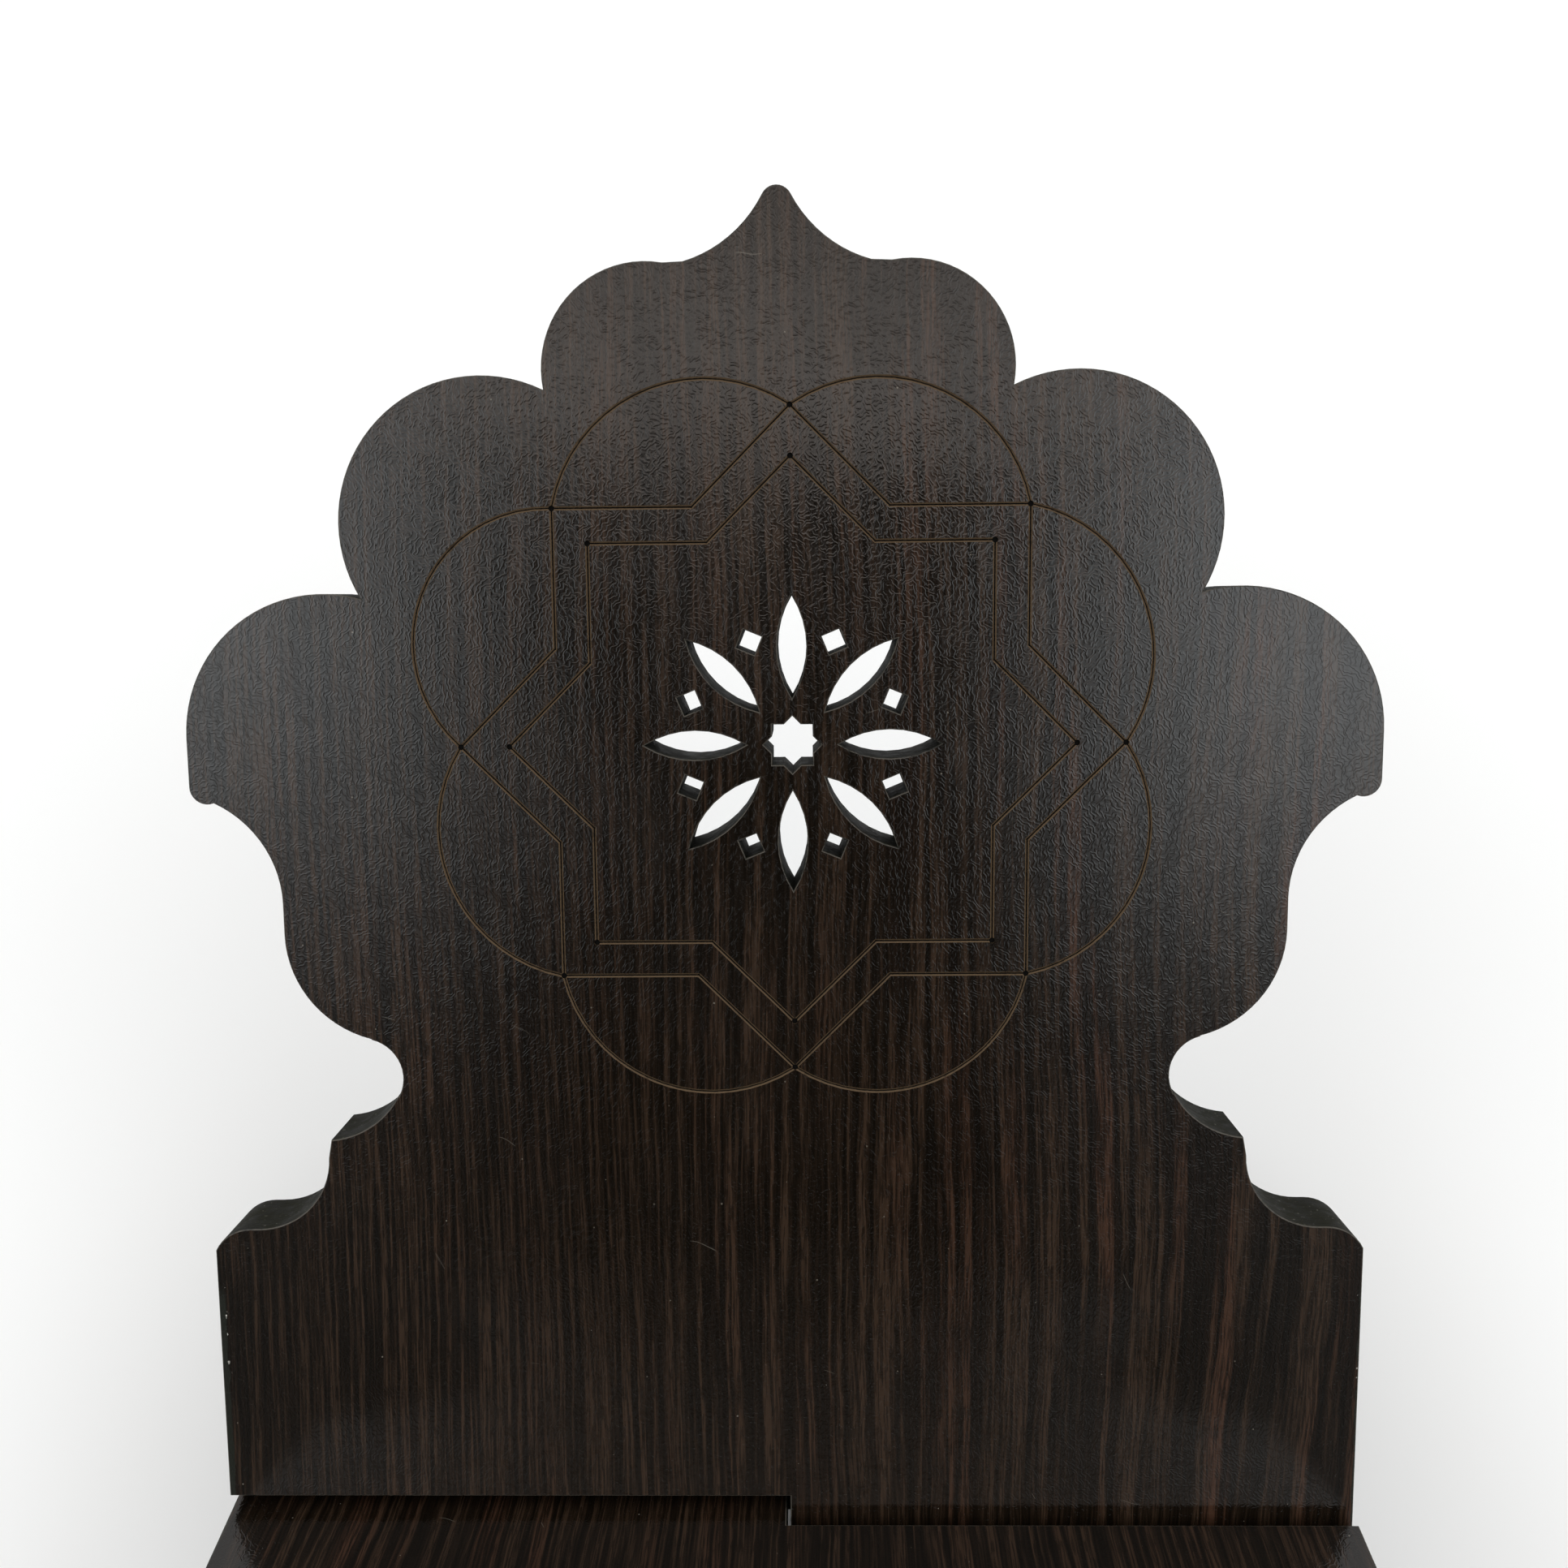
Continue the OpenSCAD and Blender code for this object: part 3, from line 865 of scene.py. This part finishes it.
@dataclass
class BoardLayer:
    """One layer of a board, made from its CAD solid with its arrises eased."""

    board: BoardName
    layer: Layer
    axes: BoardAxes
    ease: float = 0.25
    ease_steps: int = 2
    weld: float = 0.002
    near: float = 0.05
    flat: float = 0.97
    steep: float = 0.15
    smooth_angle: float = 24.0

    @property
    def node_name(self) -> str:
        """The CAD node's name."""
        return f"{self.board.value}_{self.layer.value}"

    @property
    def piece_name(self) -> str:
        """The visible piece's name."""
        words = {Layer.CORE: "fibreboard", Layer.FACE: "reading_face", Layer.UNDERSIDE: "underside"}
        return f"{self.board.value}_{words[self.layer]}"

    @property
    def slot_name(self) -> str:
        """The record's material slot."""
        return "painted_core" if self.layer is Layer.CORE else self.layer.value

    def _welded(self) -> bpy.types.Mesh:
        """Returns a copy of the CAD node's mesh with its shared vertices joined."""
        source = frame["nodes"][self.node_name].data
        points = np.zeros(len(source.vertices) * 3)
        source.vertices.foreach_get("co", points)
        points = points.reshape(-1, 3)
        keys = np.round(points / (self.weld * MM)).astype(np.int64)
        _, first, same = np.unique(keys, axis=0, return_index=True, return_inverse=True)
        same = same.reshape(-1)
        faces = [tuple(same[v] for v in p.vertices) for p in source.polygons]
        mesh = bpy.data.meshes.new(self.piece_name)
        mesh.from_pydata(points[first].tolist(), [], [f for f in faces if len(set(f)) == len(f)])
        return mesh

    def _ease_arrises(self, mesh: bpy.types.Mesh) -> None:
        """Rounds the edges between the laminate's outer face and the board's walls.

        Args:
            mesh: the layer's mesh, which is changed.
        """
        outward = self.axes.out if self.layer is Layer.FACE else -self.axes.out
        work = bmesh.new()
        work.from_mesh(mesh)
        work.normal_update()
        heights = {v: (v.co - self.axes.origin).dot(outward) / MM for v in work.verts}
        outer = max(heights.values()) - self.near
        inner = min(heights.values()) + self.near
        arrises = []
        for edge in work.edges:
            if len(edge.link_faces) != 2 or min(heights[v] for v in edge.verts) < outer:
                continue
            wall, top = sorted(edge.link_faces, key=lambda f: f.normal.dot(outward))
            through = min(heights[v] for v in wall.verts) < inner
            upright = abs(wall.normal.dot(outward)) < self.steep
            if through and upright and top.normal.dot(outward) > self.flat:
                arrises.append(edge)
        bmesh.ops.bevel(work, geom=arrises, offset=self.ease * MM, offset_type="OFFSET",
                        segments=self.ease_steps, profile=0.5, affect="EDGES",
                        clamp_overlap=False, material=Surface.ARRIS.value)
        work.to_mesh(mesh)
        work.free()

    def _sort_surfaces(self, mesh: bpy.types.Mesh) -> None:
        """Gives each face its kind of surface, and each vertex its board coordinates.

        Args:
            mesh: the layer's mesh, which is changed.
        """
        points = np.zeros(len(mesh.vertices) * 3)
        mesh.vertices.foreach_get("co", points)
        placed = self.axes.in_board(points.reshape(-1, 3))
        attribute = mesh.attributes.new(BOARD_COORDINATES, "FLOAT_VECTOR", "POINT")
        attribute.data.foreach_set("vector", placed.astype(np.float32).ravel())
        inner = placed[:, 2].min() + self.near
        outer = placed[:, 2].max() - self.near
        for face in mesh.polygons:
            if face.material_index == Surface.ARRIS.value:
                continue
            facing = abs(face.normal.dot(self.axes.out))
            heights = placed[list(face.vertices), 2]
            if facing > self.flat and (heights.min() > outer or heights.max() < inner):
                kind = Surface.PRINT
            elif self.layer is Layer.FACE and heights.min() > inner:
                kind = Surface.GROOVE
            else:
                kind = Surface.WALL
            face.material_index = kind.value

    def build(self, finishes: list[bpy.types.Material]) -> bpy.types.Object:
        """Makes the piece, dresses it and puts it in the CAD node's place.

        Args:
            finishes: the materials in the order of Surface.

        Returns:
            The new object.
        """
        mesh = self._welded()
        if self.layer is not Layer.CORE:
            self._ease_arrises(mesh)
        self._sort_surfaces(mesh)
        for material in finishes:
            mesh.materials.append(material)
        mesh.set_sharp_from_angle(angle=math.radians(self.smooth_angle))
        walls = [p.material_index == Surface.WALL.value for p in mesh.polygons]
        mesh.polygons.foreach_set("use_smooth", walls)
        piece = bpy.data.objects.new(self.piece_name, mesh)
        bpy.context.scene.collection.objects.link(piece)
        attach(piece, self.board.value)
        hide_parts(self.node_name)
        log.info("%s: %d faces", self.piece_name, len(mesh.polygons))
        return piece


@dataclass
class Board:
    """One complete board: its core and its two laminates."""

    name: BoardName
    face_finish: Finish
    underside_finish: Finish
    wall_finish: Finish
    arris_finish: Finish
    groove_finish: Finish
    pieces: list[bpy.types.Object] = field(default_factory=list)

    def build(self, effects: Effects, shared: dict[str, bpy.types.Material]) -> None:
        """Builds the three layers.

        Args:
            effects: the shared node groups.
            shared: the materials made so far, by name.
        """
        axes = BoardAxes.of(self.name)
        for layer in Layer:
            top = self.face_finish if layer is not Layer.UNDERSIDE else self.underside_finish
            wanted = (top, self.wall_finish, self.arris_finish, self.groove_finish)
            for finish in wanted:
                if finish.name not in shared:
                    shared[finish.name] = finish.make(effects)
            piece = BoardLayer(self.name, layer, axes)
            self.pieces.append(piece.build([shared[f.name] for f in wanted]))


# --------------------------------------------------------------------------------------------
# Studio


@dataclass
class Floor:
    """A plain pale floor."""

    radius: float = 6.0
    gap: float = 0.0002
    sides: int = 96
    colour: Colour = rgb(0.93, 0.93, 0.925)
    mottle: float = 0.985
    roughness: float = 0.9
    gloss: float = 0.1

    def build(self) -> bpy.types.Object:
        """Makes the floor.

        Returns:
            The floor's object.
        """
        mesh = bpy.data.meshes.new("floor")
        work = bmesh.new()
        bmesh.ops.create_circle(work, cap_ends=True, segments=self.sides, radius=self.radius)
        work.to_mesh(mesh)
        work.free()
        floor = bpy.data.objects.new("floor", mesh)
        floor.location.z = -self.gap
        bpy.context.scene.collection.objects.link(floor)
        material = bpy.data.materials.new("pale_floor")
        material.use_nodes = True
        nodes = NodeBuilder(material.node_tree)
        shader = material.node_tree.nodes["Principled BSDF"]
        where = nodes.add("TexCoord").outputs["Object"]
        tone = nodes.ramp(nodes.noise(where, 2.0, 2.0), 0.3, 0.7)
        darker = tuple(self.mottle * c for c in self.colour[:3]) + (1.0,)
        colour = nodes.blend(tone, self.colour, darker)
        nodes.tree.links.new(colour, shader.inputs["Base Color"])
        shader.inputs["Roughness"].default_value = self.roughness
        shader.inputs["Specular IOR Level"].default_value = self.gloss
        mesh.materials.append(material)
        return floor


@dataclass
class SoftStudio:
    """A soft light dome with a shaded gap where a photographer would stand, in front and above."""

    top_light: Colour = rgb(1.55, 1.44, 1.36)
    side_light: Colour = rgb(2.85, 3.00, 3.08)
    gap_light: Colour = rgb(0.01, 0.01, 0.01)
    back_light: Colour = rgb(1.2, 1.2, 1.2)
    backdrop: Colour = rgb(1.0, 1.0, 1.0)
    gap_middle: float = -0.02
    gap_edge: float = 0.125
    side_full: float = 0.385
    top_from: float = 0.822
    top_to: float = 0.838
    right_gain: float = 1.25

    def build(self) -> None:
        """Fills the world with the dome."""
        world = bpy.data.worlds.new("soft_studio")
        world.use_nodes = True
        world.node_tree.nodes.clear()
        nodes = NodeBuilder(world.node_tree)
        x, y, z = nodes.split(nodes.add("TexCoord").outputs["Generated"])
        beside = nodes.math("ABSOLUTE", nodes.math("SUBTRACT", x, self.gap_middle))
        lateral = nodes.ramp(beside, self.gap_edge, self.side_full, smooth=False)
        lateral = nodes.math("MULTIPLY", lateral, nodes.ramp(z, 0.50, 0.74, 0.05, 1.0))
        lateral = nodes.math("MULTIPLY", lateral,
                             nodes.ramp(x, -0.2, 0.2, 1.0, self.right_gain))
        over = nodes.ramp(z, self.top_from, self.top_to)
        fading = nodes.ramp(z, 0.835, 0.94, 1.50, 0.35, smooth=False)
        top_light = nodes.vector_math("SCALE", self.top_light[:3], fading)
        behind = nodes.ramp(y, -0.05, 0.15)
        colour = nodes.blend(lateral, self.gap_light, self.side_light)
        colour = nodes.blend(over, colour, top_light)
        colour = nodes.blend(behind, colour, self.back_light)
        seen = nodes.add("LightPath").outputs["Is Camera Ray"]
        colour = nodes.blend(seen, colour, self.backdrop)
        shader = nodes.add("Background", {"Color": colour, "Strength": 1.0})
        output = nodes.add("OutputWorld")
        nodes.tree.links.new(shader.outputs[0], output.inputs["Surface"])
        bpy.context.scene.world = world
        bpy.context.scene.view_settings.view_transform = "Standard"


@dataclass(frozen=True)
class StandCamera:
    """The camera, close above the front board and looking down at the back one."""

    place: Vector = Vector((0.0062, -0.0422, 0.5251))
    look: Vector = Vector((-0.01665, 0.52608, -0.85027))
    up: Vector = Vector((0.00722, 0.85043, 0.52604))
    lens: float = 34.66
    sensor: float = 36.0

    def build(self) -> bpy.types.Object:
        """Makes the camera and gives it to the scene.

        Returns:
            The camera's object.
        """
        data = bpy.data.cameras.new("camera")
        data.lens, data.sensor_width = self.lens, self.sensor
        data.clip_start, data.clip_end = 0.01, 50.0
        camera = bpy.data.objects.new("camera", data)
        right = self.look.cross(self.up).normalized()
        up = right.cross(self.look).normalized()
        turn = Matrix((right, up, -self.look.normalized())).transposed()
        camera.matrix_world = Matrix.Translation(self.place) @ turn.to_4x4()
        bpy.context.scene.collection.objects.link(camera)
        bpy.context.scene.camera = camera
        return camera


def main() -> None:
    """Builds the stand and the studio, and reports each piece."""
    logging.basicConfig(level=logging.INFO, format="%(name)s: %(message)s")
    effects = Effects()
    half_width = CAD_BOX[1].x / MM
    wall, arris, groove = EdgePaint("edge_paint"), ArrisLine("arris_line"), EngravedGroove("groove")
    back = WengeLaminate("back_wenge", seed=2.0, half_width=half_width)
    # The front board's decor is darkened to tone 0.8 as painted shade, for the darker surroundings
    # it faces; its gloss is lowered to 0.3 for the same reason.
    front = WengeLaminate("front_wenge", seed=31.0, half_width=half_width, left_stripe=1.5,
                          right_stripe=2.1, left_band=0.4, tone=0.8, gloss=0.3)
    under = WengeLaminate("underside_wenge", seed=57.0, half_width=half_width, left_stripe=1.9,
                          right_stripe=1.4, left_band=0.5, right_band=0.5)
    shared: dict[str, bpy.types.Material] = {}
    for board in (Board(BoardName.BACK, back, under, wall, arris, groove),
                  Board(BoardName.FRONT, front, under, wall, arris, groove)):
        board.build(effects, shared)
        log.info("%s: %d pieces", board.name.value, len(board.pieces))
    Floor().build()
    SoftStudio().build()
    StandCamera().build()


if __name__ == "__main__":
    main()
